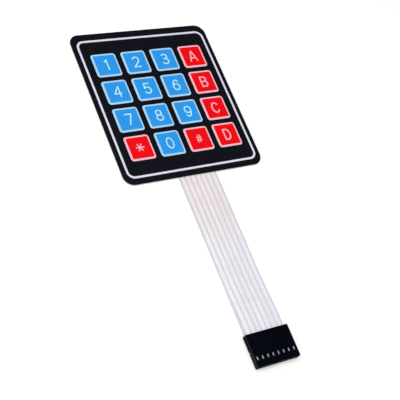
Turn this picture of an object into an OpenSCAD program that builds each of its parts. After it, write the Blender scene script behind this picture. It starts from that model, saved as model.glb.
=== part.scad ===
// Sixteen-key membrane keypad with a flat flexible tail and a one-row
// female connector.  Millimetres.  Origin at the middle of the panel's
// back face, +X to the right of the legends, +Y up the legends, +Z out of
// the printed face.  The tail leaves the lower edge along -Y and lies flat.

/* [Panel] */
// Width of the panel
panel_w = 69.2; // [68:0.1:74]
// Height of the panel
panel_h = 76.9; // [76.5:0.1:82]
// Radius of the panel's corners
panel_r = 4.8; // [2:0.1:6]

/* [Layers] */
// Thickness of the paper release liner
liner_t = 0.10; // [0.06:0.01:0.14]
// Thickness of each adhesive sheet
glue_t = 0.05; // [0.03:0.01:0.08]
// Thickness of each circuit film
film_t = 0.10; // [0.08:0.01:0.14]
// Thickness of the spacer, which is the gap that a key press closes
spacer_t = 0.15; // [0.1:0.01:0.2]
// Thickness of the printed conductors
trace_t = 0.02; // [0.01:0.005:0.03]
// Thickness of the printed colours behind the overlay
ink_t = 0.03; // [0.02:0.01:0.04]
// Thickness of the clear overlay film
overlay_t = 0.19; // [0.12:0.01:0.25]

/* [Keys] */
// Distance between key columns
pitch_x = 14.7; // [14:0.1:14.9]
// Distance between key rows
pitch_y = 14.3; // [13.8:0.1:14.4]
// Outside size of a key's white outline
key_size = 12; // [11:0.1:12.2]
// Corner radius of a key's white outline
key_r = 1.35; // [0.9:0.05:2]
// Width of a key's white outline
key_line = 0.85; // [0.5:0.05:1]
// Shift of the key grid to the right
grid_dx = 0.35; // [-0.4:0.05:0.4]
// Shift of the key grid upwards
grid_dy = -0.15; // [-0.4:0.05:0.4]
// Shift of the colour fields to the right, inside their outlines
field_dx = 0.2; // [-0.2:0.05:0.2]
// Shift of the colour fields upwards, inside their outlines
field_dy = 0.1; // [-0.2:0.05:0.2]
// Diameter of a contact pad
pad_d = 7; // [5:0.5:8]
// Diameter of the spacer's hole under each key
hole_d = 9; // [8.5:0.1:10]

/* [Print] */
// Width of the white border line
border_line = 1.0; // [0.5:0.05:1.2]
// Distance from the left edge to the middle of the border line
border_left = 2.9; // [2.2:0.05:3.2]
// Distance from the right edge to the middle of the border line
border_right = 2.45; // [2.2:0.05:3.2]
// Distance from the top edge to the middle of the border line
border_top = 3.9; // [2.5:0.05:4.2]
// Distance from the bottom edge to the middle of the border line
border_bottom = 3.4; // [2.5:0.05:4.2]
// Outer corner radius of the border line
border_r = 3.6; // [1.5:0.1:4]
// Height of the legends
legend_h = 5.7; // [5:0.1:6.2]
// Stroke width of the digits
digit_stroke = 0.6; // [0.4:0.05:0.8]
// Stroke width of the letters
letter_stroke = 0.7; // [0.4:0.05:0.8]
// Stroke width of the star sign
star_stroke = 0.55; // [0.35:0.05:0.6]
// Stroke width of the hash sign
hash_stroke = 0.45; // [0.35:0.05:0.6]
// Shift of the legends to the right of their keys' middles
legend_dx = 0.25; // [-0.5:0.05:0.5]
// Shift of the legends above their keys' middles
legend_dy = 0.15; // [-0.5:0.05:0.5]

/* [Tail] */
// Width of the flexible tail
tail_w = 18.8; // [18.7:0.1:20.3]
// Free length of the tail, from the panel's edge to the connector
tail_free = 74; // [60:1:120]
// Width of each printed conductor on the tail
lead_w = 0.85; // [0.6:0.05:0.9]
// Length of the gentle rise into the connector
rise_len = 24; // [12:1:40]

/* [Connector] */
// Distance between neighbouring contacts
pin_pitch = 2.54; // [2.54:0.01:2.54]
// Length of the housing
con_len = 14; // [14:0.5:16]
// Width of the housing
con_w = 20.6; // [20.4:0.1:21.4]
// Height of the housing
con_h = 2.6; // [2.6:0.1:3.2]
// Size of the square pin entry
entry = 0.9; // [0.8:0.05:1]
// Width of each window over a contact's catch
win_w = 0.95; // [0.8:0.05:1.2]
// Length of each window
win_len = 1.5; // [1.4:0.1:2.1]
// Distance from the front face to the middle of the windows
win_back = 3.7; // [3.4:0.1:4.2]

/* [Hidden] */
$fn = 48;
e = 0.02;                       // cut-through allowance

// levels of the stack
z_glue1 = liner_t;
z_low = z_glue1 + glue_t;       // bottom of the lower circuit film
z_spc = z_low + film_t;
z_up = z_spc + spacer_t;        // bottom of the upper circuit film
z_glue2 = z_up + film_t;
z_ink = z_glue2 + glue_t;
z_leg = z_ink + ink_t * 2 / 3;  // legends lie nearest the overlay
z_ov = z_ink + ink_t;           // bottom of the overlay
z_top = z_ov + overlay_t;

// key grid
col_x = [for (i = [0:3]) grid_dx + (i - 1.5) * pitch_x];
row_y = [for (j = [0:3]) grid_dy + (1.5 - j) * pitch_y];
field = key_size - 2 * key_line;
field_r = max(key_r - key_line, 0.2);
// 7, 8 and 9 stand a little further to the right
far_dx = [[0, 0, 0, 0], [0, 0, 0, 0], [0.15, 0.35, 0.35, 0], [0, 0, 0, 0]];
// which keys are red, by [column, row]
red_keys = [[3, 0], [3, 1], [3, 2], [3, 3], [0, 3], [2, 3]];
function is_red(i, j) = len([for (k = red_keys) if (k == [i, j]) 1]) > 0;

// contacts, left to right
pin_x = [for (k = [0:7]) (k - 3.5) * pin_pitch];

// tail: heights of the film's lower face along y
y_edge = -panel_h / 2;
y_rear = y_edge - tail_free;            // rear face of the housing
y_front = y_rear - con_len;             // mating face of the housing
con_z = 1.15;                           // film's lower face in the housing
film_in = 6.2;                          // film's reach into the housing
rise_end = y_rear + 2;
rise_start = rise_end + rise_len;
rise_n = 14;
function ease(t) = t * t * (3 - 2 * t);
tail_pts = concat([[y_edge + 3, z_low]],
    [for (i = [0:rise_n]) let (t = i / rise_n)
        [rise_start - rise_len * t, z_low + (con_z - z_low) * ease(t)]],
    [[y_rear - film_in, con_z]]);
// the same line cut back to end at y = y1, and started at y = y0
function along(y0, y1) = concat([[y0, z_low]],
    [for (p = tail_pts) if (p[0] < y0 - 0.001 && p[0] > y1 + 0.001) p],
    [[y1, con_z]]);

// housing, measured from the rear face towards the front
mid = 7;                        // end of the film slot's half
wall_z = 0.45;                  // floor and roof of the crimp chambers
cav_z0 = 0.6;                   // floor of the contact cavities
cav_z1 = 2.05;
cav_w = 1.7;
front_wall = 0.9;
pin_z = 1.25;                   // height of the mating pins' axis
win_s = con_len - win_back;     // middle of the windows

// traces inside the panel
bus_w = 0.6;
bus_gap = 1.1;
bus_x = [for (j = [0:3]) -panel_w / 2 + 1.7 + bus_gap * j];
bus_y = [for (j = [0:3]) y_edge + 2.2 + bus_gap * j];
dot_y = y_edge + 3.4;           // transfer dots
dot_d = 1.6;

// ---- shared shapes -------------------------------------------------
module plate(w, h, r) {         // rounded rectangle, centred
    union() {
        square([w - 2 * r, h], center = true);
        square([w, h - 2 * r], center = true);
        for (sx = [-1, 1], sy = [-1, 1])
            translate([sx * (w / 2 - r), sy * (h / 2 - r)]) circle(r);
    }
}
module sheet(z, t) {
    translate([0, 0, z]) linear_extrude(t) plate(panel_w, panel_h, panel_r);
}
// a strip of width w that follows the tail from y0 to y1
module ribbon(w, y0, y1, dz, t) {
    p = along(y0, y1);
    n = len(p);
    translate([-w / 2, 0, 0]) rotate([90, 0, 90]) linear_extrude(w)
        polygon(concat([for (q = p) [q[0], q[1] + dz]],
                       [for (i = [n - 1:-1:0]) [p[i][0], p[i][1] + dz + t]]));
}
module bar(x0, y0, x1, y1, w) { // axis-parallel conductor run
    translate([min(x0, x1) - w / 2, min(y0, y1) - w / 2])
        square([abs(x1 - x0) + w, abs(y1 - y0) + w]);
}

// ---- legends: strokes of one width along simple paths --------------
function unit(v) = v / norm(v);
function nrm(a, b) = let (u = unit(b - a)) [-u[1], u[0]];
function side(p, d) = [for (i = [0:len(p) - 1])
    let (n1 = i > 0 ? nrm(p[i - 1], p[i]) : nrm(p[0], p[1]),
         n2 = i < len(p) - 1 ? nrm(p[i], p[i + 1]) : n1,
         m = unit(n1 + n2)) p[i] + m * d / (m * n1)];
function rev(p) = [for (i = [len(p) - 1:-1:0]) p[i]];
function arc(cx, cy, rx, ry, a0, a1, n = 12) = [for (i = [0:n])
    let (a = a0 + (a1 - a0) * i / n) [cx + rx * cos(a), cy + ry * sin(a)]];
// $sw is the stroke's width, hl half the legend's height, and top() the
// height at which a stroke along the upper edge has its middle
hl = legend_h / 2;
function top() = hl - $sw / 2;
module line2(p) {
    polygon(concat(side(p, -$sw / 2), rev(side(p, $sw / 2))));
}
module ring2(cx, cy, rx, ry) {  // closed oval stroke
    n = 40;
    a = $sw / 2;
    polygon(concat(
        [for (i = [0:n - 1]) let (t = i * 360 / n)
            [cx + (rx + a) * cos(t), cy + (ry + a) * sin(t)]],
        [for (i = [0:n - 1]) let (t = i * 360 / n)
            [cx + (rx - a) * cos(t), cy + (ry - a) * sin(t)]]),
        [[for (i = [0:n - 1]) i], [for (i = [0:n - 1]) n + i]]);
}
module glyph_1() {
    line2([[0.45, -hl], [0.45, hl]]);
    line2([[-0.92, 1.62], [-0.15, 1.95], [0.36, hl - 0.2]]);
}
module glyph_2() {
    line2(concat(arc(0, top() - 1.42, 1.48, 1.42, 168, -28),
                 [[0.35, -0.75], [-1.25, 0.28 - top()], [-1.42, -top()]]));
    line2([[-1.8, -top()], [1.75, -top()]]);
}
module glyph_3() {
    line2(arc(-0.05, top() - 1.18, 1.38, 1.18, 158, -90));
    line2(arc(-0.05, -1.18, 1.53, top() - 1.18, 90, -160));
    line2([[-0.7, top() - 2.36], [0.1, top() - 2.36]]);
}
module glyph_4() {
    line2([[0.9, -hl], [0.9, hl]]);
    line2([[-1.87, -0.95], [1.9, -0.95]]);
    line2([[-1.64, -1.0], [0.76, hl - 0.3]]);
}
module glyph_5() {
    line2([[1.42, top()], [-1.25, top()]]);
    line2([[-1.0, hl - 0.1], [-1.28, -0.05]]);
    line2(arc(-0.02, 1.62 - top(), 1.53, 1.62, 147, -158));
}
module glyph_6() {
    ring2(0, 1.58 - top(), 1.52, 1.58);
    line2(arc(0.26, 1.58 - top(), 1.72, 2 * top() - 1.58, 46, 172, 16));
}
module glyph_7() {
    line2([[-1.55, top()], [1.95, top()]]);
    line2([[1.66, top()], [-0.3, -hl]]);
}
module glyph_8() {
    ring2(0, top() - 1.2, 1.33, 1.2);
    ring2(0, -1.2, 1.54, top() - 1.2);
}
module glyph_9() { rotate(180) glyph_6(); }
module glyph_0() { ring2(0, 0, 1.56, top()); }
module glyph_a() {
    line2([[-1.85, -hl], [-0.1, hl]]);
    line2([[1.85, -hl], [0.1, hl]]);
    line2([[-1.3, -0.95], [1.3, -0.95]]);
}
module glyph_b() {
    line2([[-1.4, -hl], [-1.4, hl]]);
    line2(concat([[-1.4, top()]], arc(0.05, top() - 1.18, 1.25, 1.18, 90, -90),
                 [[-1.4, top() - 2.36]]));
    line2(concat([[-1.4, top() - 2.36]],
                 arc(0.15, -1.18, 1.4, top() - 1.18, 90, -90),
                 [[-1.4, -top()]]));
}
module glyph_c() { line2(arc(0.05, 0, 1.68, top(), 34, 332, 20)); }
module glyph_d() {
    line2([[-1.45, -hl], [-1.45, hl]]);
    line2(concat([[-1.45, top()]], arc(-0.2, 0, 1.72, top(), 90, -90, 16),
                 [[-1.45, -top()]]));
}
module glyph_star() {
    for (a = [0, 60, 120])
        line2([[-2 * cos(a), -2 * sin(a)], [2 * cos(a), 2 * sin(a)]]);
}
module glyph_hash() {
    line2([[-0.84, -1.9], [-0.22, 1.9]]);
    line2([[0.22, -1.9], [0.84, 1.9]]);
    line2([[-1.32, 0.65], [1.4, 0.65]]);
    line2([[-1.4, -0.65], [1.32, -0.65]]);
}
module legend(i, j) {
    $sw = i == 3 ? letter_stroke : j < 3 || i == 1 ? digit_stroke :
          i == 0 ? star_stroke : hash_stroke;
    if (j == 0 && i == 0) glyph_1();
    if (j == 0 && i == 1) glyph_2();
    if (j == 0 && i == 2) glyph_3();
    if (j == 0 && i == 3) glyph_a();
    if (j == 1 && i == 0) glyph_4();
    if (j == 1 && i == 1) glyph_5();
    if (j == 1 && i == 2) glyph_6();
    if (j == 1 && i == 3) glyph_b();
    if (j == 2 && i == 0) glyph_7();
    if (j == 2 && i == 1) glyph_8();
    if (j == 2 && i == 2) glyph_9();
    if (j == 2 && i == 3) glyph_c();
    if (j == 3 && i == 0) glyph_star();
    if (j == 3 && i == 1) glyph_0();
    if (j == 3 && i == 2) glyph_hash();
    if (j == 3 && i == 3) glyph_d();
}

// ---- back: liner and adhesive --------------------------------------
module release_liner() { color([0.93, 0.90, 0.80]) sheet(0, liner_t); }
module rear_adhesive() { color([0.92, 0.90, 0.84]) sheet(z_glue1, glue_t); }

// ---- lower circuit: film with its tail, and its printed conductors --
// one lead along the whole tail
module lead(k) {
    translate([pin_x[k], 0, 0])
        ribbon(lead_w, y_edge + 1, y_rear - film_in + 0.4,
               film_t - trace_t, trace_t);
}
module row_run(j) {             // one row: pads, row line, side run, lead
    y = row_y[j];
    union() {
        translate([0, 0, z_spc - trace_t]) linear_extrude(trace_t) union() {
            for (i = [0:3]) translate([col_x[i], y]) circle(pad_d / 2);
            bar(bus_x[j], y, col_x[3], y, bus_w);
            bar(bus_x[j], bus_y[j], bus_x[j], y, bus_w);
            bar(bus_x[j], bus_y[j], pin_x[j], bus_y[j], bus_w);
            bar(pin_x[j], y_edge + 0.8, pin_x[j], bus_y[j], bus_w);
        }
        lead(j);
    }
}
module column_lead(i) {         // lead and the pad that the dot lands on
    union() {
        translate([0, 0, z_spc - trace_t]) linear_extrude(trace_t) union() {
            translate([pin_x[4 + i], dot_y]) circle(dot_d / 2);
            bar(pin_x[4 + i], y_edge + 0.8, pin_x[4 + i], dot_y, bus_w);
        }
        lead(4 + i);
    }
}
module row_traces() { color([0.80, 0.80, 0.82]) for (j = [0:3]) row_run(j); }
module column_leads() {
    color([0.80, 0.80, 0.82]) for (i = [0:3]) column_lead(i);
}
// places, from the housing's rear face, of each contact's folded tines
tine_s = [2.0, 3.5, 5.0];
tine_len = 0.9;
module lower_circuit_film() {
    color([0.90, 0.91, 0.93, 0.6]) difference() {
        union() {
            sheet(z_low, film_t);
            ribbon(tail_w, y_edge + 2, y_rear - film_in, 0, film_t);
        }
        for (j = [0:3]) row_run(j);
        for (i = [0:3]) column_lead(i);
        for (x = pin_x, s = tine_s, d = [-1, 1])
            translate([x + d * 0.7 - 0.12, y_rear - s - tine_len - 0.02, con_z - 0.1])
                cube([0.24, tine_len + 0.04, film_t + 0.2]);
    }
}
module tail_cover_film() {      // clear film over the leads
    color([0.92, 0.93, 0.95, 0.5])
        ribbon(tail_w, y_edge, y_rear - 1.2, film_t, glue_t);
}

// ---- spacer, with a hole under each key and air channels ------------
module spacer() {
    color([0.85, 0.87, 0.90, 0.7])
    translate([0, 0, z_spc]) linear_extrude(spacer_t) difference() {
        plate(panel_w, panel_h, panel_r);
        for (x = col_x, y = row_y) translate([x, y]) circle(hole_d / 2);
        for (x = col_x) bar(x, row_y[3], x, row_y[0], 0.8);
        bar(col_x[0], row_y[0], col_x[3], row_y[0], 0.8);
        bar(col_x[0], y_edge - 1, col_x[0], row_y[3], 0.8);
        for (k = [4:7]) translate([pin_x[k], dot_y]) circle(dot_d / 2 + 0.2);
    }
}
module transfer_dots() {        // conductive dots between the two circuits
    color([0.72, 0.72, 0.75]) for (k = [4:7])
        translate([pin_x[k], dot_y, z_spc]) cylinder(d = dot_d - 0.2, h = spacer_t);
}

// ---- upper circuit ---------------------------------------------------
step_y = row_y[3] - hole_d / 2 - 2.2;   // where the columns turn inwards
module column_run(i) {
    x = col_x[i];
    yy = i == 0 ? step_y - bus_gap : step_y;
    translate([0, 0, z_up]) linear_extrude(trace_t) union() {
        for (j = [0:3]) translate([x, row_y[j]]) circle(pad_d / 2);
        bar(x, yy, x, row_y[0], bus_w);
        bar(x, yy, pin_x[4 + i], yy, bus_w);
        bar(pin_x[4 + i], dot_y, pin_x[4 + i], yy, bus_w);
        translate([pin_x[4 + i], dot_y]) circle(dot_d / 2);
    }
}
module column_traces() { color([0.80, 0.80, 0.82]) for (i = [0:3]) column_run(i); }
module upper_circuit_film() {
    color([0.90, 0.91, 0.93, 0.6]) difference() {
        sheet(z_up, film_t);
        for (i = [0:3]) column_run(i);
    }
}
module overlay_adhesive() { color([0.92, 0.90, 0.84]) sheet(z_glue2, glue_t); }

// ---- printed colours on the back of the overlay ----------------------
bl = -panel_w / 2 + border_left;
br = panel_w / 2 - border_right;
bt = panel_h / 2 - border_top;
bb = -panel_h / 2 + border_bottom;
module border2() {
    translate([(bl + br) / 2, (bt + bb) / 2]) difference() {
        plate(br - bl + border_line, bt - bb + border_line, border_r);
        plate(br - bl - border_line, bt - bb - border_line,
              max(border_r - border_line, 0.3));
    }
}
module black_print() {
    color([0.03, 0.035, 0.045]) difference() {
        sheet(z_ink, ink_t);
        translate([0, 0, z_ink - 1]) linear_extrude(2)
            for (x = col_x, y = row_y)
                translate([x, y]) plate(key_size, key_size, key_r);
        translate([0, 0, z_leg]) linear_extrude(ink_t) border2();
    }
}
module white_line_print() {
    color([0.88, 0.88, 0.96]) union() {
        translate([0, 0, z_ink]) linear_extrude(ink_t)
            for (x = col_x, y = row_y) translate([x, y]) difference() {
                plate(key_size, key_size, key_r);
                translate([field_dx, field_dy]) plate(field, field, field_r);
            }
        translate([0, 0, z_leg]) linear_extrude(z_ov - z_leg) border2();
    }
}
module key_field(x, y) {
    translate([x + field_dx, y + field_dy, z_ink])
        linear_extrude(z_leg - z_ink) plate(field, field, field_r);
}
module blue_key_print() {
    color([0.16, 0.59, 0.94]) for (i = [0:3], j = [0:3])
        if (!is_red(i, j)) key_field(col_x[i], row_y[j]);
}
module red_key_print() {
    color([0.93, 0.03, 0.08]) for (i = [0:3], j = [0:3])
        if (is_red(i, j)) key_field(col_x[i], row_y[j]);
}
module legend_print() {
    color([0.88, 0.88, 0.96])
    translate([0, 0, z_leg]) linear_extrude(z_ov - z_leg)
        for (i = [0:3], j = [0:3])
            translate([col_x[i] + legend_dx + far_dx[j][i],
                       row_y[j] + legend_dy]) legend(i, j);
}
module graphic_overlay() {
    color([0.85, 0.87, 0.90, 0.25]) sheet(z_ov, overlay_t);
}

// ---- connector --------------------------------------------------------
// s runs from the rear face to the mating face: a box from s0 to s1
module sbox(x0, x1, s0, s1, z0, z1) {
    translate([x0, y_rear - s1, z0]) cube([x1 - x0, s1 - s0, z1 - z0]);
}
module connector_housing() {
    color([0.06, 0.06, 0.07]) difference() {
        translate([0, y_rear, 0]) linear_extrude(con_h) polygon([
            [-con_w / 2 + 0.2, 0], [con_w / 2 - 0.2, 0], [con_w / 2, -0.2],
            [con_w / 2, -con_len + 0.15], [con_w / 2 - 0.15, -con_len],
            [-con_w / 2 + 0.15, -con_len], [-con_w / 2, -con_len + 0.15],
            [-con_w / 2, -0.2]]);
        // slot that the film slides into, open at the rear and both sides
        sbox(-con_w, con_w, -1, mid - 0.5, 0.95, 1.6);
        // shallow notches in both sides, at the end of the slot
        for (d = [-1, 1]) translate([d * con_w / 2, 0, 0])
            sbox(-0.3, 0.3, mid - 0.3, mid + 0.5, -1, 1.6);
        for (x = pin_x) {
            // crimp chamber
            sbox(x - 1.02, x + 1.02, -1, mid - 0.5, wall_z, con_h - 0.55);
            // contact cavity
            sbox(x - cav_w / 2, x + cav_w / 2, mid - 0.6, con_len - front_wall,
                 cav_z0, cav_z1);
            // pin entry and its lead-in
            sbox(x - entry / 2, x + entry / 2, con_len - front_wall - 0.1,
                 con_len + 1, pin_z - entry / 2, pin_z + entry / 2);
            intersection() {
                translate([x, y_front, 0]) linear_extrude(con_h) polygon([
                    [-entry / 2, 0.45], [entry / 2, 0.45],
                    [entry / 2 + 0.4, -0.05], [-entry / 2 - 0.4, -0.05]]);
                translate([x - 2, y_front, pin_z]) rotate([90, 0, 90])
                    linear_extrude(4) polygon([
                        [0.45, entry / 2], [0.45, -entry / 2],
                        [-0.05, -entry / 2 - 0.4], [-0.05, entry / 2 + 0.4]]);
            }
            // window over the catch
            sbox(x - win_w / 2, x + win_w / 2, win_s - win_len / 2,
                 win_s + win_len / 2, cav_z1 - 0.1, con_h + 1);
        }
    }
}
// One stamped contact: box receptacle with a spring, a catch, a neck and a
// crimp whose tines pass through the film and fold over the conductor.
module contact(k) {
    x = pin_x[k];
    t = 0.2;
    b0 = mid + 0.2;                     // rear of the receptacle
    b1 = con_len - front_wall - 0.1;    // its front
    zb = cav_z0;
    zt = 1.9;
    c0 = win_s - win_len / 2 + 0.15;    // catch
    c1 = win_s + win_len / 2 - 0.15;
    color([0.78, 0.77, 0.74]) union() {
        difference() {
            sbox(x - 0.75, x + 0.75, b0, b1, zb, zt);
            sbox(x - 0.75 + t, x + 0.75 - t, b0 - 1, b1 + 1, zb + t, zt - t);
            sbox(x - 0.42, x + 0.42, c0 - 0.3, c1 + 0.25, zt - t - 0.1, zt + 0.1);
        }
        // catch, a tapered tongue bent up out of the top wall
        intersection() {
            translate([x - 0.4, y_rear, 0]) rotate([90, 0, 90])
                linear_extrude(0.8)
                polygon([[-c1 - 0.35, zt - t], [-c1 - 0.35, zt], [-c0, zt + 0.5],
                         [-c0, zt + 0.5 - t], [-c1 - 0.05, zt - t]]);
            translate([x, y_rear, 0]) linear_extrude(con_h) polygon([
                [-0.21, -c0 + 0.1], [0.21, -c0 + 0.1],
                [0.07, -c1 - 0.4], [-0.07, -c1 - 0.4]]);
        }
        // spring leaf
        translate([x - 0.35, y_rear, 0]) rotate([90, 0, 90]) linear_extrude(0.7)
            polygon([[-b1 + 0.5, zb + t - 0.02], [-b1 + 2.0, zb + t + 0.14],
                     [-b1 + 3.6, zb + t - 0.02]]);
        // neck, from the receptacle's floor up to the film
        translate([x - 0.5, y_rear, 0]) rotate([90, 0, 90]) linear_extrude(1.0)
            polygon([[-b0 - 0.4, zb], [-b0 - 0.4, zb + t], [-b0, zb + t],
                     [-b0 + 0.9, con_z], [-b0 + 1.6, con_z],
                     [-b0 + 1.6, con_z - t], [-b0 + 0.9, con_z - t], [-b0, zb]]);
        // crimp base under the film
        sbox(x - 0.8, x + 0.8, tine_s[0] - 0.4, b0 - 1.2, con_z - t, con_z);
        for (s = tine_s, d = [-1, 1]) {
            sbox(x + d * 0.7 - 0.1, x + d * 0.7 + 0.1, s, s + tine_len,
                 con_z - 0.05, con_z + film_t + t);
            sbox(d > 0 ? x + 0.1 : x - 0.8, d > 0 ? x + 0.8 : x - 0.1,
                 s, s + tine_len, con_z + film_t, con_z + film_t + t);
        }
    }
}
module contact_1() { contact(0); }
module contact_2() { contact(1); }
module contact_3() { contact(2); }
module contact_4() { contact(3); }
module contact_5() { contact(4); }
module contact_6() { contact(5); }
module contact_7() { contact(6); }
module contact_8() { contact(7); }

release_liner();
rear_adhesive();
lower_circuit_film();
row_traces();
column_leads();
spacer();
transfer_dots();
upper_circuit_film();
column_traces();
overlay_adhesive();
black_print();
blue_key_print();
red_key_print();
white_line_print();
legend_print();
graphic_overlay();
tail_cover_film();
connector_housing();
contact_1();
contact_2();
contact_3();
contact_4();
contact_5();
contact_6();
contact_7();
contact_8();
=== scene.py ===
import math
import bpy
import bmesh
from mathutils import Matrix, Quaternion, Vector
from mathutils.geometry import delaunay_2d_cdt


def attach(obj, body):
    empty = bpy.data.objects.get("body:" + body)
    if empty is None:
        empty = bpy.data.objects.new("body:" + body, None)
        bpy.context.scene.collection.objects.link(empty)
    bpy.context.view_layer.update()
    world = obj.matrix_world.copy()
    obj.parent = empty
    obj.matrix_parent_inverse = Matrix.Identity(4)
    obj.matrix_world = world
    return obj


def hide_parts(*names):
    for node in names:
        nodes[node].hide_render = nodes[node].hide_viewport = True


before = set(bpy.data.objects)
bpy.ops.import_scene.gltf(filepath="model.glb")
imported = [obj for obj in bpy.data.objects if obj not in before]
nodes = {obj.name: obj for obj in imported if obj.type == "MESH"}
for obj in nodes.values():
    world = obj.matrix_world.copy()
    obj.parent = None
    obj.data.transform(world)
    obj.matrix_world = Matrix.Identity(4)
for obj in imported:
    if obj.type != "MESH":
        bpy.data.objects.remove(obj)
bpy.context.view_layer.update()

MM = 0.001
scene = bpy.context.scene

# ---------------------------------------------------------------- camera
cam_data = bpy.data.cameras.new("camera")
cam = bpy.data.objects.new("camera", cam_data)
scene.collection.objects.link(cam)
scene.camera = cam
cam_data.sensor_width = 36.0
cam_data.lens = 88.092
cam_data.clip_start = 0.01
cam_data.clip_end = 20.0
cam.location = (-0.210194, -0.193229, 0.331544)
cam.rotation_mode = "QUATERNION"
cam.rotation_quaternion = Quaternion((0.937448, 0.21812, -0.232269, -0.140236))
scene.view_settings.view_transform = "Standard"
scene.view_settings.look = "None"
scene.view_settings.exposure = 0.0
scene.view_settings.gamma = 1.0


# ------------------------------------------------------------- materials
def tree(name):
    m = bpy.data.materials.new(name)
    m.use_nodes = True
    nt = m.node_tree
    b = nt.nodes["Principled BSDF"]
    return m, nt, b


def coords(nt):
    return nt.nodes.new("ShaderNodeTexCoord").outputs["Object"]


def noise(nt, vec, scale, detail=2.0, rough=0.5, stretch=None):
    if stretch:
        mp = nt.nodes.new("ShaderNodeMapping")
        mp.inputs["Scale"].default_value = stretch
        nt.links.new(vec, mp.inputs["Vector"])
        vec = mp.outputs["Vector"]
    n = nt.nodes.new("ShaderNodeTexNoise")
    n.inputs["Scale"].default_value = scale
    n.inputs["Detail"].default_value = detail
    n.inputs["Roughness"].default_value = rough
    nt.links.new(vec, n.inputs["Vector"])
    return n.outputs["Fac"]


def remap(nt, fac, lo, hi, a=0.3, b=0.7):
    r = nt.nodes.new("ShaderNodeMapRange")
    r.inputs["From Min"].default_value = a
    r.inputs["From Max"].default_value = b
    r.inputs["To Min"].default_value = lo
    r.inputs["To Max"].default_value = hi
    nt.links.new(fac, r.inputs["Value"])
    return r.outputs["Result"]


def tint(nt, fac, c0, c1, p0=0.3, p1=0.7):
    r = nt.nodes.new("ShaderNodeValToRGB")
    r.color_ramp.elements[0].position = p0
    r.color_ramp.elements[1].position = p1
    r.color_ramp.elements[0].color = (*c0, 1.0)
    r.color_ramp.elements[1].color = (*c1, 1.0)
    nt.links.new(fac, r.inputs["Fac"])
    return r.outputs["Color"]


def bump(nt, bsdf, parts):
    """parts: (height socket, strength, distance in metres), chained."""
    last = None
    for h, s, d in parts:
        b = nt.nodes.new("ShaderNodeBump")
        b.inputs["Strength"].default_value = s
        b.inputs["Distance"].default_value = d
        nt.links.new(h, b.inputs["Height"])
        if last is not None:
            nt.links.new(last, b.inputs["Normal"])
        last = b.outputs["Normal"]
    nt.links.new(last, bsdf.inputs["Normal"])


def print_material(name, c0, c1, spec=0.15, rough=(0.24, 0.30)):
    """Ink seen through a thin satin film."""
    m, nt, b = tree(name)
    v = coords(nt)
    soft = noise(nt, v, 120.0, 3.0)
    fine = noise(nt, v, 1900.0, 2.0)
    nt.links.new(tint(nt, soft, c0, c1), b.inputs["Base Color"])
    nt.links.new(remap(nt, soft, *rough), b.inputs["Roughness"])
    b.inputs["Specular IOR Level"].default_value = spec
    bump(nt, b, [(noise(nt, v, 45.0, 1.0), 0.25, 0.0004),
                 (fine, 0.20, 0.00002)])
    return m


M_BLACK = print_material("ink_black", (0.0014, 0.0022, 0.0050), (0.0022, 0.0030, 0.0068))
M_BLUE = print_material("ink_blue", (0.0220, 0.280, 0.735), (0.0250, 0.295, 0.775))
M_RED = print_material("ink_red", (0.780, 0.0009, 0.0035), (0.820, 0.0014, 0.0045), 0.12)
M_WHITE = print_material("ink_white", (0.66, 0.66, 0.775), (0.69, 0.69, 0.81))
# white lines around and on the keys, which take on a little of their colour
M_LINE_B = print_material("line_round_blue", (0.370, 0.605, 0.805), (0.400, 0.640, 0.845))
M_LINE_R = print_material("line_round_red", (0.800, 0.450, 0.545), (0.850, 0.480, 0.580))
M_LEGEND_B = print_material("legend_on_blue", (0.430, 0.770, 0.820), (0.460, 0.820, 0.870))
M_LEGEND_R = print_material("legend_on_red", (0.775, 0.385, 0.465), (0.825, 0.415, 0.505))


def painted_root_shade(nt, v, color):
    """Painted shade: the clear layers and their traces are tinted warmer where the tail
    leaves the panel.
    """
    s = nt.nodes.new("ShaderNodeSeparateXYZ")
    nt.links.new(v, s.inputs["Vector"])
    wob = remap(nt, noise(nt, v, 160.0, 2.0), -0.004, 0.004)
    add = nt.nodes.new("ShaderNodeMath")
    add.operation = "ADD"
    nt.links.new(s.outputs["Y"], add.inputs[0])
    nt.links.new(wob, add.inputs[1])
    mix = nt.nodes.new("ShaderNodeMix")
    mix.data_type = "RGBA"
    mix.blend_type = "MULTIPLY"
    nt.links.new(remap(nt, add.outputs[0], 0.0, 1.0, -0.072, -0.060), mix.inputs[0])
    nt.links.new(color, mix.inputs[6])
    # warm colour of the painted shade
    mix.inputs[7].default_value = (1.0, 0.935, 0.875, 1.0)
    return mix.outputs[2]


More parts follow.
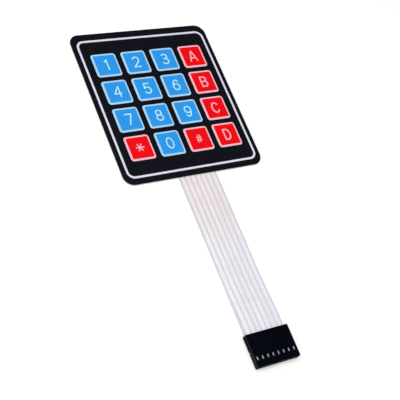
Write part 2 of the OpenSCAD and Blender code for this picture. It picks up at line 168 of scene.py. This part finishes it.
def film_material(name, color, alpha, rough, spec=0.5, wave=0.3, painted_sheen=0.0):
    m, nt, b = tree(name)
    v = coords(nt)
    soft = noise(nt, v, 90.0, 2.0)
    lo = tuple(c * 0.97 for c in color)
    col = tint(nt, soft, lo, color)
    if painted_sheen:
        # painted sheen: long faint streaks, painted lighter towards the tail's left edge,
        # then the painted warm shade at the root
        s = nt.nodes.new("ShaderNodeSeparateXYZ")
        nt.links.new(v, s.inputs["Vector"])
        sheen_band = nt.nodes.new("ShaderNodeMath")
        sheen_band.operation = "MULTIPLY_ADD"
        nt.links.new(s.outputs["X"], sheen_band.inputs[0])
        sheen_band.inputs[1].default_value = -14.0
        nt.links.new(noise(nt, v, 150.0, 2.0, 0.5, stretch=(1.0, 0.10, 1.0)),
                     sheen_band.inputs[2])
        lo = tuple(c * (1.0 - painted_sheen) for c in color)
        col = painted_root_shade(nt, v, tint(nt, sheen_band.outputs[0], lo, color, 0.36, 0.64))
    nt.links.new(col, b.inputs["Base Color"])
    nt.links.new(remap(nt, soft, rough * 0.85, rough * 1.15), b.inputs["Roughness"])
    b.inputs["Specular IOR Level"].default_value = spec
    b.inputs["Alpha"].default_value = alpha
    bump(nt, b, [(noise(nt, v, 60.0, 1.0), wave, 0.0003),
                 (noise(nt, v, 1500.0, 2.0), 0.10, 0.00001)])
    return m


# the tail film's colour carries the painted sheen streaks and the painted warm shade at
# the root
M_FILM = film_material("polyester_film", (0.970, 0.948, 1.0), 0.88, 0.28, painted_sheen=0.075)
M_COVER = film_material("cover_film", (0.94, 0.93, 0.98), 0.08, 0.22)
M_SPACER = film_material("spacer_film", (0.80, 0.80, 0.82), 0.75, 0.40)
M_GLUE = film_material("adhesive_sheet", (0.80, 0.77, 0.68), 0.80, 0.45)
M_EDGE = film_material("overlay_edge", (0.035, 0.037, 0.045), 1.0, 0.25)


def silver_material(name, color, metal, rough):
    m, nt, b = tree(name)
    v = coords(nt)
    grain = noise(nt, v, 2400.0, 3.0, 0.6)
    lo = tuple(c * 0.90 for c in color)
    # painted warm shade at the tail's root over the silver grain
    nt.links.new(painted_root_shade(nt, v, tint(nt, grain, lo, color)), b.inputs["Base Color"])
    nt.links.new(remap(nt, grain, rough * 0.85, rough * 1.15), b.inputs["Roughness"])
    b.inputs["Metallic"].default_value = metal
    bump(nt, b, [(grain, 0.25, 0.00001)])
    return m


M_SILVER = silver_material("silver_ink", (0.665, 0.655, 0.715), 0.15, 0.45)
M_PASTE = silver_material("silver_paste", (0.52, 0.52, 0.55), 0.30, 0.55)


def liner_material():
    m, nt, b = tree("liner_paper")
    v = coords(nt)
    fibre = noise(nt, v, 900.0, 4.0, 0.65, stretch=(1.0, 0.35, 1.0))
    cloud = noise(nt, v, 140.0, 3.0)
    nt.links.new(tint(nt, cloud, (0.74, 0.68, 0.50), (0.80, 0.75, 0.58)),
                 b.inputs["Base Color"])
    nt.links.new(remap(nt, fibre, 0.42, 0.62), b.inputs["Roughness"])
    b.inputs["Specular IOR Level"].default_value = 0.35
    bump(nt, b, [(fibre, 0.22, 0.00003), (noise(nt, v, 50.0, 1.0), 0.2, 0.0003)])
    return m


M_LINER = liner_material()


def nylon_material():
    m, nt, b = tree("black_nylon")
    v = coords(nt)
    spark = noise(nt, v, 2600.0, 3.0, 0.6)
    cloud = noise(nt, v, 260.0, 2.0)
    # painted light: the end walls, facing ±X, are coloured lighter and greyer than the
    # smooth broad faces
    s = nt.nodes.new("ShaderNodeSeparateXYZ")
    nt.links.new(nt.nodes.new("ShaderNodeTexCoord").outputs["Normal"], s.inputs["Vector"])
    painted_wall_light = nt.nodes.new("ShaderNodeMath")
    painted_wall_light.operation = "ABSOLUTE"
    nt.links.new(s.outputs["X"], painted_wall_light.inputs[0])
    mix = nt.nodes.new("ShaderNodeMix")
    mix.data_type = "RGBA"
    nt.links.new(remap(nt, painted_wall_light.outputs[0], 0.0, 1.0, 0.6, 0.95), mix.inputs[0])
    nt.links.new(tint(nt, cloud, (0.0004, 0.0011, 0.0035), (0.0010, 0.0020, 0.0055)),
                 mix.inputs[6])
    # lighter colour of the painted wall light
    nt.links.new(tint(nt, spark, (0.0095, 0.0097, 0.0105), (0.0160, 0.0163, 0.0175)),
                 mix.inputs[7])
    nt.links.new(mix.outputs[2], b.inputs["Base Color"])
    nt.links.new(remap(nt, spark, 0.30, 0.40), b.inputs["Roughness"])
    b.inputs["Specular IOR Level"].default_value = 0.025
    bump(nt, b, [(spark, 0.30, 0.00002)])
    return m


M_NYLON = nylon_material()


def tin_material():
    m, nt, b = tree("tinned_strip")
    v = coords(nt)
    roll = noise(nt, v, 1500.0, 3.0, 0.6, stretch=(1.0, 0.25, 1.0))
    nt.links.new(tint(nt, roll, (0.66, 0.65, 0.635), (0.74, 0.73, 0.715)),
                 b.inputs["Base Color"])
    nt.links.new(remap(nt, roll, 0.36, 0.46), b.inputs["Roughness"])
    b.inputs["Metallic"].default_value = 1.0
    bump(nt, b, [(roll, 0.15, 0.00001)])
    return m


M_TIN = tin_material()


def dress(node, mat):
    for s in nodes[node].material_slots:
        s.material = mat


for n, m in {"release_liner": M_LINER, "rear_adhesive": M_GLUE,
             "lower_circuit_film": M_FILM, "row_traces": M_SILVER,
             "column_leads": M_SILVER, "spacer": M_SPACER,
             "transfer_dots": M_PASTE, "upper_circuit_film": M_FILM,
             "column_traces": M_SILVER, "overlay_adhesive": M_GLUE}.items():
    dress(n, m)

# --------------------------------------------------- printed front overlay
PANEL_W, PANEL_H, PANEL_R = 69.2, 76.9, 4.8
Z_INK, Z_TOP = 0.55, 0.77
PITCH_X, PITCH_Y = 14.7, 14.3
COLS = [0.35 + (i - 1.5) * PITCH_X for i in range(4)]
ROWS = [-0.15 + (1.5 - j) * PITCH_Y for j in range(4)]
KEY, KEY_R, KEY_LINE = 12.0, 1.35, 0.85
FIELD_DX, FIELD_DY = 0.20, 0.10  # colour fields inside their outlines
LEGEND_DX, LEGEND_DY = 0.25, 0.15
FAR_DX = {(0, 2): 0.15, (1, 2): 0.35, (2, 2): 0.35}
HL = 2.85                        # half a legend's height
DIGIT, LETTER, STAR, HASH = 0.6, 0.7, 0.55, 0.45
RED = {(3, 0), (3, 1), (3, 2), (3, 3), (0, 3), (2, 3)}


def rounded(cx, cy, w, h, r, n=10):
    pts = []
    for sx, sy, a0 in ((1, 1, 0), (-1, 1, 90), (-1, -1, 180), (1, -1, 270)):
        for k in range(n + 1):
            a = math.radians(a0 + 90.0 * k / n)
            pts.append((cx + sx * (w / 2 - r) + r * math.cos(a),
                        cy + sy * (h / 2 - r) + r * math.sin(a)))
    return pts


def arc(cx, cy, rx, ry, a0, a1, n=22):
    out = []
    for i in range(n + 1):
        a = math.radians(a0 + (a1 - a0) * i / n)
        out.append((cx + rx * math.cos(a), cy + ry * math.sin(a)))
    return out


def stroke(path, w=DIGIT):
    """Outline of one stroke of constant width along a path."""
    def nrm(a, b):
        dx, dy = b[0] - a[0], b[1] - a[1]
        k = math.hypot(dx, dy)
        return (-dy / k, dx / k)
    left, right = [], []
    for i, p in enumerate(path):
        n1 = nrm(path[i - 1], p) if i else nrm(path[0], path[1])
        n2 = nrm(p, path[i + 1]) if i < len(path) - 1 else n1
        mx, my = n1[0] + n2[0], n1[1] + n2[1]
        k = math.hypot(mx, my)
        mx, my = mx / k, my / k
        d = w / 2 / (mx * n1[0] + my * n1[1])
        left.append((p[0] + mx * d, p[1] + my * d))
        right.append((p[0] - mx * d, p[1] - my * d))
    return [left + right[::-1]]


def ring(cx, cy, rx, ry, w=DIGIT, n=44):
    out = []
    for s in (w / 2, -w / 2):
        out.append([(cx + (rx + s) * math.cos(2 * math.pi * i / n),
                     cy + (ry + s) * math.sin(2 * math.pi * i / n))
                    for i in range(n)])
    return out


def turned(shapes):
    return [[[(-x, -y) for x, y in loop] for loop in s] for s in shapes]


# heights at which a stroke along the upper edge has its middle
TD = HL - DIGIT / 2
TL = HL - LETTER / 2
SIX = [ring(0, 1.58 - TD, 1.52, 1.58),
       stroke(arc(0.26, 1.58 - TD, 1.72, 2 * TD - 1.58, 46, 172))]
GLYPHS = {
    (0, 0): [stroke([(0.45, -HL), (0.45, HL)]),
             stroke([(-0.92, 1.62), (-0.15, 1.95), (0.36, HL - 0.2)])],
    (1, 0): [stroke(arc(0, TD - 1.42, 1.48, 1.42, 168, -28) +
                    [(0.35, -0.75), (-1.25, 0.28 - TD), (-1.42, -TD)]),
             stroke([(-1.8, -TD), (1.75, -TD)])],
    (2, 0): [stroke(arc(-0.05, TD - 1.18, 1.38, 1.18, 158, -90)),
             stroke(arc(-0.05, -1.18, 1.53, TD - 1.18, 90, -160)),
             stroke([(-0.7, TD - 2.36), (0.1, TD - 2.36)])],
    (3, 0): [stroke([(-1.85, -HL), (-0.1, HL)], LETTER),
             stroke([(1.85, -HL), (0.1, HL)], LETTER),
             stroke([(-1.3, -0.95), (1.3, -0.95)], LETTER)],
    (0, 1): [stroke([(0.9, -HL), (0.9, HL)]),
             stroke([(-1.87, -0.95), (1.9, -0.95)]),
             stroke([(-1.64, -1.0), (0.76, HL - 0.3)])],
    (1, 1): [stroke([(1.42, TD), (-1.25, TD)]),
             stroke([(-1.0, HL - 0.1), (-1.28, -0.05)]),
             stroke(arc(-0.02, 1.62 - TD, 1.53, 1.62, 147, -158))],
    (2, 1): SIX,
    (3, 1): [stroke([(-1.4, -HL), (-1.4, HL)], LETTER),
             stroke([(-1.4, TL)] + arc(0.05, TL - 1.18, 1.25, 1.18, 90, -90) +
                    [(-1.4, TL - 2.36)], LETTER),
             stroke([(-1.4, TL - 2.36)] + arc(0.15, -1.18, 1.4, TL - 1.18, 90, -90) +
                    [(-1.4, -TL)], LETTER)],
    (0, 2): [stroke([(-1.55, TD), (1.95, TD)]),
             stroke([(1.66, TD), (-0.3, -HL)])],
    (1, 2): [ring(0, TD - 1.2, 1.33, 1.2), ring(0, -1.2, 1.54, TD - 1.2)],
    (2, 2): turned(SIX),
    (3, 2): [stroke(arc(0.05, 0, 1.68, TL, 34, 332, 30), LETTER)],
    (0, 3): [stroke([(-2 * math.cos(a), -2 * math.sin(a)),
                     (2 * math.cos(a), 2 * math.sin(a))], STAR)
             for a in (0.0, math.radians(60), math.radians(120))],
    (1, 3): [ring(0, 0, 1.56, TD)],
    (2, 3): [stroke([(-0.84, -1.9), (-0.22, 1.9)], HASH),
             stroke([(0.22, -1.9), (0.84, 1.9)], HASH),
             stroke([(-1.32, 0.65), (1.4, 0.65)], HASH),
             stroke([(-1.4, -0.65), (1.32, -0.65)], HASH)],
    (3, 3): [stroke([(-1.45, -HL), (-1.45, HL)], LETTER),
             stroke([(-1.45, TL)] + arc(-0.2, 0, 1.72, TL, 90, -90, 26) +
                    [(-1.45, -TL)], LETTER)],
}


def inside(loop, x, y):
    hit = False
    j = len(loop) - 1
    for i in range(len(loop)):
        xi, yi = loop[i]
        xj, yj = loop[j]
        if (yi > y) != (yj > y) and x < (xj - xi) * (y - yi) / (yj - yi) + xi:
            hit = not hit
        j = i
    return hit


B_LEFT, B_RIGHT, B_TOP, B_BOTTOM = 2.9, 2.45, 3.9, 3.4
BORDER_CX = (B_LEFT - B_RIGHT) / 2
BORDER_CY = (B_BOTTOM - B_TOP) / 2
BORDER_W = PANEL_W - B_LEFT - B_RIGHT
BORDER_H = PANEL_H - B_TOP - B_BOTTOM
BORDER_LINE, BORDER_R = 1.0, 3.6
BORDER_OUT = rounded(BORDER_CX, BORDER_CY, BORDER_W + BORDER_LINE,
                     BORDER_H + BORDER_LINE, BORDER_R)
BORDER_IN = rounded(BORDER_CX, BORDER_CY, BORDER_W - BORDER_LINE,
                    BORDER_H - BORDER_LINE, BORDER_R - BORDER_LINE)
SKIN = 0.03                     # bevel along the cut edge
EDGE = rounded(0, 0, PANEL_W, PANEL_H, PANEL_R, 16)
TOP = rounded(0, 0, PANEL_W - 2 * SKIN, PANEL_H - 2 * SKIN, PANEL_R - SKIN, 16)


def cdt(loops):
    verts, edges = [], []
    for loop in loops:
        s = len(verts)
        verts += [Vector(p) for p in loop]
        edges += [(s + i, s + (i + 1) % len(loop)) for i in range(len(loop))]
    r = delaunay_2d_cdt(verts, edges, [], 0, 1e-5)
    return r[0], r[2]


def prism(name, verts, tris, mats, slot, *replaced):
    """One printed colour as a plate: its top at the film's surface, its walls
    and bottom down to the ink.  tris: (vertex numbers, material number)."""
    bm = bmesh.new()
    top, low, deep = {}, {}, {}
    for t, mi in tris:
        for k in t:
            if k not in top:
                top[k] = bm.verts.new((verts[k].x * MM, verts[k].y * MM, Z_TOP * MM))
        bm.faces.new([top[k] for k in t]).material_index = mi
    rim = [e for e in bm.edges if len(e.link_faces) == 1]
    back = {v: k for k, v in top.items()}

    def under(k):
        """Vertices below vertex k, at each level of the wall."""
        if k in deep:
            return deep[k]
        x, y = verts[k].x, verts[k].y
        if (round(x, 4), round(y, 4)) in OUTER:
            cx = max(-PANEL_W / 2 + PANEL_R, min(PANEL_W / 2 - PANEL_R, x))
            cy = max(-PANEL_H / 2 + PANEL_R, min(PANEL_H / 2 - PANEL_R, y))
            d = Vector((x - cx, y - cy)).normalized() * PANEL_R
            x, y = cx + d.x, cy + d.y
            zs = (Z_TOP - SKIN, 0.58, Z_INK)
        else:
            zs = (Z_INK,)
        deep[k] = [bm.verts.new((x * MM, y * MM, z * MM)) for z in zs]
        return deep[k]
    for e in rim:
        a, b = (back[v] for v in e.verts)
        ua, ub = under(a), under(b)
        mi = e.link_faces[0].material_index
        pa, pb = top[a], top[b]
        for n, (qa, qb) in enumerate(zip(ua, ub)):
            f = bm.faces.new((pa, pb, qb, qa))
            f.material_index = len(mats) - 1 if len(ua) == 3 and n < 2 else mi
            pa, pb = qa, qb
    for k in top:
        if k in deep:
            low[k] = deep[k][-1]
        else:
            low[k] = bm.verts.new((verts[k].x * MM, verts[k].y * MM, Z_INK * MM))
    for t, mi in tris:
        bm.faces.new([low[k] for k in t[::-1]]).material_index = mi
    bmesh.ops.recalc_face_normals(bm, faces=bm.faces)
    me = bpy.data.meshes.new(name)
    bm.to_mesh(me)
    bm.free()
    for m in mats:
        me.materials.append(m)
    o = bpy.data.objects.new(name, me)
    scene.collection.objects.link(o)
    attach(o, "root")
    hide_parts(*replaced)
    return o


OUTER = {(round(x, 4), round(y, 4)) for x, y in TOP}


def overlay():
    keys = {}
    for i, x in enumerate(COLS):
        for j, y in enumerate(ROWS):
            f = KEY - 2 * KEY_LINE
            gx = x + LEGEND_DX + FAR_DX.get((i, j), 0.0)
            gy = y + LEGEND_DY
            keys[i, j] = (
                rounded(x, y, KEY, KEY, KEY_R),
                rounded(x + FIELD_DX, y + FIELD_DY, f, f, KEY_R - KEY_LINE, 6),
                [[[(gx + a, gy + b) for a, b in loop] for loop in s]
                 for s in GLYPHS[i, j]])
    loops = [TOP, BORDER_OUT, BORDER_IN]
    for k in keys.values():
        loops += [k[0], k[1]]
        for s in k[2]:
            loops += s
    verts, tris = cdt(loops)

    def colour(x, y):
        for (i, j), (outer, inner, glyph) in keys.items():
            if abs(x - COLS[i]) > KEY / 2 or abs(y - ROWS[j]) > KEY / 2:
                continue
            if not inside(outer, x, y):
                return "black", 0
            red = (i, j) in RED
            if not inside(inner, x, y):
                return "lines", 2 if red else 1
            for s in glyph:
                if sum(inside(loop, x, y) for loop in s) % 2:
                    return "legends", 1 if red else 0
            return ("red" if red else "blue"), 0
        if inside(BORDER_OUT, x, y) and not inside(BORDER_IN, x, y):
            return "lines", 0
        return "black", 0

    groups = {"black": [], "blue": [], "red": [], "lines": [], "legends": []}
    for t in tris:
        cx = sum(verts[k].x for k in t) / len(t)
        cy = sum(verts[k].y for k in t) / len(t)
        if inside(TOP, cx, cy):
            g, mi = colour(cx, cy)
            groups[g].append((list(t), mi))
    prism("front_black", verts, groups["black"], [M_BLACK, M_EDGE], "black_ink",
          "graphic_overlay", "black_print")
    prism("front_blue_fields", verts, groups["blue"], [M_BLUE], "blue_ink",
          "blue_key_print")
    prism("front_red_fields", verts, groups["red"], [M_RED], "red_ink",
          "red_key_print")
    prism("front_white_lines", verts, groups["lines"],
          [M_WHITE, M_LINE_B, M_LINE_R], "white_ink", "white_line_print")
    prism("front_legends", verts, groups["legends"], [M_LEGEND_B, M_LEGEND_R],
          "white_ink", "legend_print")


overlay()

# -------------------------------------------------------- tail's top film
Y_EDGE = -PANEL_H / 2
Y_REAR = Y_EDGE - 74.0
Z_FILM, Z_CON, FILM_T, COVER_T = 0.15, 1.15, 0.10, 0.05
RISE_LEN, RISE_N = 24.0, 14
GAP = 0.006                      # air between the film and its cover


def ease(t):
    return t * t * (3 - 2 * t)


def cover_film(w):
    y0 = Y_REAR + 2 + RISE_LEN
    line = [(Y_EDGE, Z_FILM)]
    line += [(y0 - RISE_LEN * i / RISE_N, Z_FILM + (Z_CON - Z_FILM) * ease(i / RISE_N))
             for i in range(RISE_N + 1)]
    line.append((Y_REAR - 1.2, Z_CON))
    bm = bmesh.new()
    rows = []
    for y, z in line:
        a, b = (z + FILM_T + GAP) * MM, (z + FILM_T + COVER_T) * MM
        rows.append([bm.verts.new((x * MM, y * MM, h))
                     for x, h in ((-w / 2, a), (w / 2, a), (w / 2, b), (-w / 2, b))])
    for p, q in zip(rows[:-1], rows[1:]):
        for k in range(4):
            bm.faces.new((p[k], p[(k + 1) % 4], q[(k + 1) % 4], q[k]))
    bm.faces.new(rows[0])
    bm.faces.new(rows[-1][::-1])
    bmesh.ops.recalc_face_normals(bm, faces=bm.faces)
    me = bpy.data.meshes.new("tail_cover")
    bm.to_mesh(me)
    bm.free()
    me.materials.append(M_COVER)
    o = bpy.data.objects.new("tail_cover", me)
    scene.collection.objects.link(o)
    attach(o, "root")
    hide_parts("tail_cover_film")


cover_film(18.8)


# ------------------------------------------------ connector with soft edges
def softened(node, name, width, segments, mat):
    """A mesh of the node's own shape with its sharp edges rounded as a mould
    or a press leaves them."""
    me = nodes[node].data.copy()
    me.name = name
    bm = bmesh.new()
    bm.from_mesh(me)
    bmesh.ops.remove_doubles(bm, verts=bm.verts, dist=1e-7)
    bmesh.ops.dissolve_limit(bm, angle_limit=math.radians(1.0), verts=bm.verts,
                             edges=bm.edges, delimit=set())
    bmesh.ops.connect_verts_concave(bm, faces=bm.faces)
    bm.to_mesh(me)
    bm.free()
    me.materials.clear()
    me.materials.append(mat)
    o = bpy.data.objects.new(name, me)
    scene.collection.objects.link(o)
    for l in ("custom_normal",):
        if l in me.attributes:
            me.attributes.remove(me.attributes[l])
    for p in me.polygons:
        p.use_smooth = True
    b = o.modifiers.new("edges", "BEVEL")
    b.width = width
    b.segments = segments
    b.limit_method = "ANGLE"
    b.angle_limit = math.radians(30)
    b.use_clamp_overlap = True
    b.harden_normals = True
    b.miter_outer = "MITER_ARC"
    w = o.modifiers.new("normals", "WEIGHTED_NORMAL")
    w.keep_sharp = True
    dg = bpy.context.evaluated_depsgraph_get()
    done = bpy.data.meshes.new_from_object(o.evaluated_get(dg))
    bpy.data.objects.remove(o)
    done.name = name
    return done


def place(me, name, node, shift=0.0):
    if shift:
        me = me.copy()
        me.transform(Matrix.Translation((shift, 0, 0)))
        me.name = name
    o = bpy.data.objects.new(name, me)
    scene.collection.objects.link(o)
    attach(o, "root")
    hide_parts(node)


place(softened("connector_housing", "housing", 0.00009, 2, M_NYLON),
      "housing", "connector_housing")
# eight equal stampings, one pitch apart
stamping = softened("contact_1", "socket_contact_1", 0.00003, 1, M_TIN)
for k in range(8):
    place(stamping, "socket_contact_%d" % (k + 1), "contact_%d" % (k + 1),
          2.54 * MM * k)

# -------------------------------------------------------- floor and lights
bm = bmesh.new()
bmesh.ops.create_circle(bm, cap_ends=True, segments=96, radius=0.8)
me = bpy.data.meshes.new("floor")
bm.to_mesh(me)
bm.free()
floor = bpy.data.objects.new("floor", me)
floor.location = (0, 0, -0.00005)
scene.collection.objects.link(floor)
m, nt, b = tree("floor")
b.inputs["Base Color"].default_value = (0.985, 0.985, 0.988, 1.0)
b.inputs["Roughness"].default_value = 0.9
b.inputs["Specular IOR Level"].default_value = 0.1
me.materials.append(m)


def area(name, loc, target, size, watts, color=(1, 1, 1)):
    ld = bpy.data.lights.new(name, "AREA")
    ld.shape = "RECTANGLE"
    ld.size, ld.size_y = size
    ld.energy = watts
    ld.color = color
    o = bpy.data.objects.new(name, ld)
    o.location = loc
    o.rotation_mode = "QUATERNION"
    o.rotation_quaternion = (Vector(target) - Vector(loc)).to_track_quat("-Z", "Y")
    scene.collection.objects.link(o)
    return o


area("overhead", (-0.15, -0.10, 1.0), (0, -0.04, 0), (1.1, 1.1), 8.5)
area("left", (-0.95, 0.35, 0.65), (0, -0.04, 0), (0.7, 0.9), 3.5)

world = bpy.data.worlds.new("studio")
scene.world = world
world.use_nodes = True
wt = world.node_tree
bg = wt.nodes["Background"]
tc = wt.nodes.new("ShaderNodeTexCoord")
sx = wt.nodes.new("ShaderNodeSeparateXYZ")
wt.links.new(tc.outputs["Generated"], sx.inputs["Vector"])
ramp = wt.nodes.new("ShaderNodeValToRGB")
ramp.color_ramp.elements[0].position = 0.0
ramp.color_ramp.elements[0].color = (0.92, 0.92, 0.93, 1)
ramp.color_ramp.elements[1].position = 1.0
ramp.color_ramp.elements[1].color = (0.75, 0.75, 0.76, 1)
for pos, val in ((0.18, 0.85), (0.45, 0.20), (0.80, 0.20), (0.93, 0.60)):
    el = ramp.color_ramp.elements.new(pos)
    el.color = (val, val, val * 1.01, 1)
wt.links.new(sx.outputs["Z"], ramp.inputs["Fac"])
wt.links.new(ramp.outputs["Color"], bg.inputs["Color"])
bg.inputs["Strength"].default_value = 1.0
